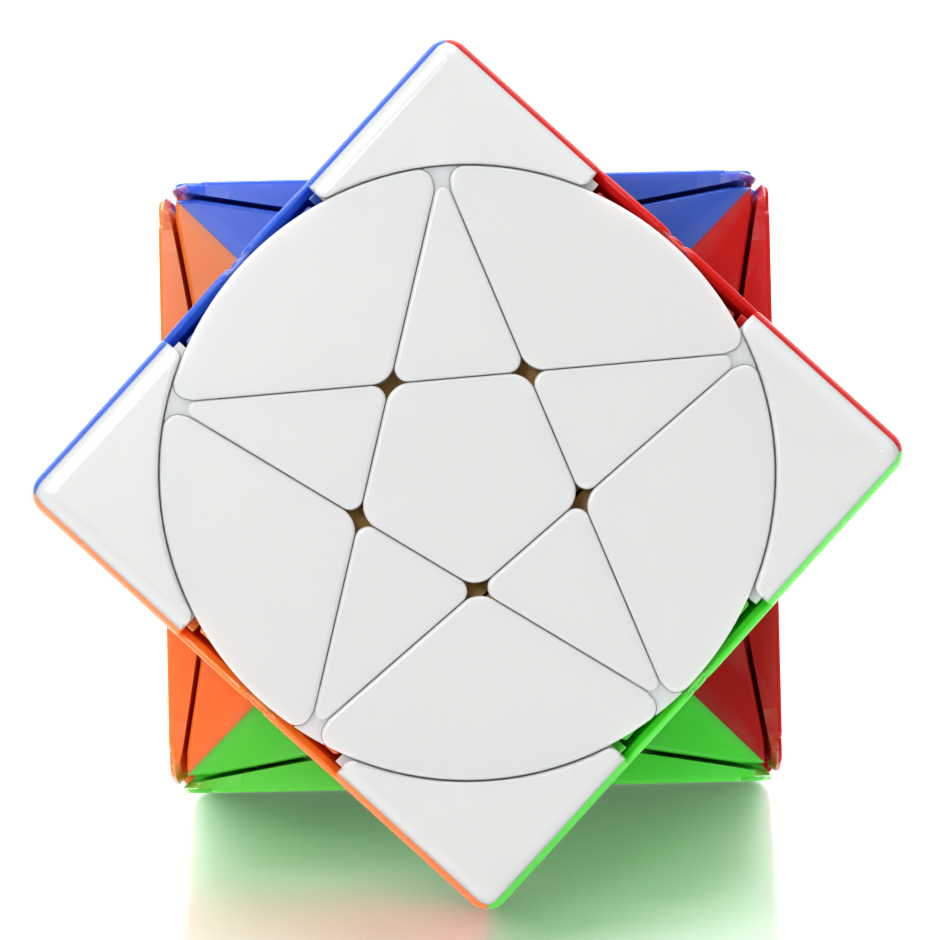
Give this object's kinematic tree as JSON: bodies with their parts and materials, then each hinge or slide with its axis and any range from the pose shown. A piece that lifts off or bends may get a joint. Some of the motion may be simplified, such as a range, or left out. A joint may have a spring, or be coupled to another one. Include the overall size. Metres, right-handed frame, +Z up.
{
  "type": "cube twisty puzzle with five-pointed stars in its faces",
  "caption": "Cube-shaped twisty puzzle with a round turning star disc set in each face, resting with its front layer part turned.",
  "frame": {"origin": "centre of the bounding box's footprint, on the surface that the puzzle rests on", "axes": "+Z is up; -Y is the side that the white face looks towards; +X is to the right as seen from the white face. The cube's own front axis leans back, so the white face looks about 17 degrees above level."},
  "size_m": [0.0774, 0.072, 0.0791],
  "materials": {
    "white": "glossy moulded plastic",
    "blue": "glossy moulded plastic",
    "red": "glossy moulded plastic",
    "green": "glossy moulded plastic",
    "orange": "glossy moulded plastic",
    "yellow": "glossy moulded plastic",
    "inner_brown": "plain moulded plastic",
    "inner_dark": "plain moulded plastic",
    "steel": "plain machined steel"
  },
  "bodies": {
    "cube_block": {"blue_star_centre": "blue", "blue_star_points": "blue", "blue_star_petals": "blue", "back_corners_blue": "blue", "rear_edges_blue": "blue", "red_star_centre": "red", "red_star_points": "red", "red_star_petals": "red", "back_corners_red": "red", "rear_edges_red": "red", "green_star_centre": "green", "green_star_points": "green", "green_star_petals": "green", "back_corners_green": "green", "rear_edges_green": "green", "orange_star_centre": "orange", "orange_star_points": "orange", "orange_star_petals": "orange", "back_corners_orange": "orange", "rear_edges_orange": "orange", "back_corners_yellow": "yellow", "rear_edges_yellow": "yellow", "core": "inner_dark", "centre_carriers": "inner_brown", "axis_screws": "steel", "axis_springs": "steel"},
    "front_layer": {"blue_front_point": "blue", "blue_front_petals": "blue", "front_corners_blue": "blue", "front_edge_blue": "blue", "red_front_point": "red", "red_front_petals": "red", "front_corners_red": "red", "front_edge_red": "red", "green_front_point": "green", "green_front_petals": "green", "front_corners_green": "green", "front_edge_green": "green", "orange_front_point": "orange", "orange_front_petals": "orange", "front_corners_orange": "orange", "front_edge_orange": "orange", "front_corners_white": "white", "front_edge_insides": "inner_brown", "front_carrier": "inner_brown"},
    "front_star": {"white_star_centre": "white", "white_star_point_1": "white", "white_star_point_2": "white", "white_star_point_3": "white", "white_star_point_4": "white", "white_star_point_5": "white", "white_star_petal_1": "white", "white_star_petal_2": "white", "white_star_petal_3": "white", "white_star_petal_4": "white", "white_star_petal_5": "white"},
    "back_star": {"yellow_star_centre": "yellow", "yellow_star_points": "yellow", "yellow_star_petals": "yellow"}
  },
  "joints": [
    {"name": "front_layer_turn", "type": "hinge", "parent": "cube_block", "child": "front_layer", "pos_m": [0, 0.00143, 0.03457], "axis": [0, -0.9575, 0.2883], "continuous": true},
    {"name": "front_star_turn", "type": "hinge", "parent": "front_layer", "child": "front_star", "pos_m": [0, 0.00143, 0.03457], "axis": [0, -0.9575, 0.2883], "continuous": true},
    {"name": "back_star_turn", "type": "hinge", "parent": "cube_block", "child": "back_star", "pos_m": [0, 0.00143, 0.03457], "axis": [0, 0.9575, -0.2883], "continuous": true}
  ]
}
